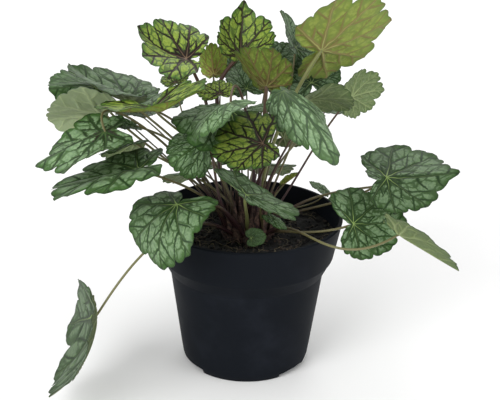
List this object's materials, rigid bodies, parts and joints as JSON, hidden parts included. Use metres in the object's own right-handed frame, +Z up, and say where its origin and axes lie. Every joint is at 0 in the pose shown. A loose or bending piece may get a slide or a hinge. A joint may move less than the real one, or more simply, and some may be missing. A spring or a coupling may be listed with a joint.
{
  "type": "potted heuchera plant",
  "caption": "Heuchera with lobed silver-veined and lime leaves on thin stalks, growing from one woody crown in a round black nursery pot",
  "frame": {"origin": "middle of the pot's flat base, on the surface it stands on", "axes": "+Z up along the pot's axis, +X to the viewer's right and -Y towards the viewer"},
  "size_m": [0.276, 0.2056, 0.2639],
  "materials": {
    "pot": "satin black moulded plastic",
    "soil": "matt dark peat with fibres",
    "crown": "matt knobbly bark",
    "lime_leaf": "soft sheen, yellow-green with purple-brown veins",
    "silver_leaf": "soft sheen, grey-green with dark green veins"
  },
  "bodies": {
    "root": {"pot": "pot", "soil": "soil", "crown": "crown", "leaf_top_left": "lime_leaf", "leaf_top_middle": "lime_leaf", "leaf_top_right": "lime_leaf", "leaf_middle_upright": "lime_leaf", "leaf_small_upright": "lime_leaf", "leaf_left_arch": "lime_leaf", "leaf_left_high": "silver_leaf", "leaf_left_far": "silver_leaf", "leaf_left_pale": "silver_leaf", "leaf_left_middle": "silver_leaf", "leaf_left_low": "silver_leaf", "leaf_front_left": "silver_leaf", "leaf_hanging_left": "silver_leaf", "leaf_right_arch": "silver_leaf", "leaf_right_dark": "silver_leaf", "leaf_right_pale": "silver_leaf", "leaf_back_right": "silver_leaf", "leaf_back_point": "silver_leaf", "leaf_middle_hanging": "silver_leaf", "leaf_middle_dark": "silver_leaf", "leaf_middle_low": "silver_leaf", "leaf_middle_lime": "lime_leaf", "leaf_front_small": "silver_leaf", "leaf_seedling": "silver_leaf", "leaf_soil_small": "silver_leaf", "leaf_right_big": "silver_leaf", "leaf_right_low": "silver_leaf", "leaf_right_edge": "silver_leaf", "leaf_back_rim": "silver_leaf", "leaf_under_arch": "silver_leaf", "leaf_left_tucked": "silver_leaf", "leaf_narrow_right": "silver_leaf", "leaf_inner_right": "lime_leaf", "leaf_middle_back": "silver_leaf", "leaf_top_back": "silver_leaf", "leaf_front_tucked": "silver_leaf", "leaf_centre_lime": "lime_leaf", "leaf_left_under": "silver_leaf", "leaf_centre_dark": "silver_leaf", "leaf_behind_middle": "silver_leaf", "leaf_behind_left": "lime_leaf", "leaf_far_low_left": "silver_leaf", "leaf_far_low_middle": "silver_leaf", "leaf_far_middle": "silver_leaf", "leaf_far_high": "lime_leaf", "leaf_far_right": "silver_leaf", "leaf_far_left": "silver_leaf", "leaf_far_low_right": "silver_leaf"}
  },
  "joints": []
}
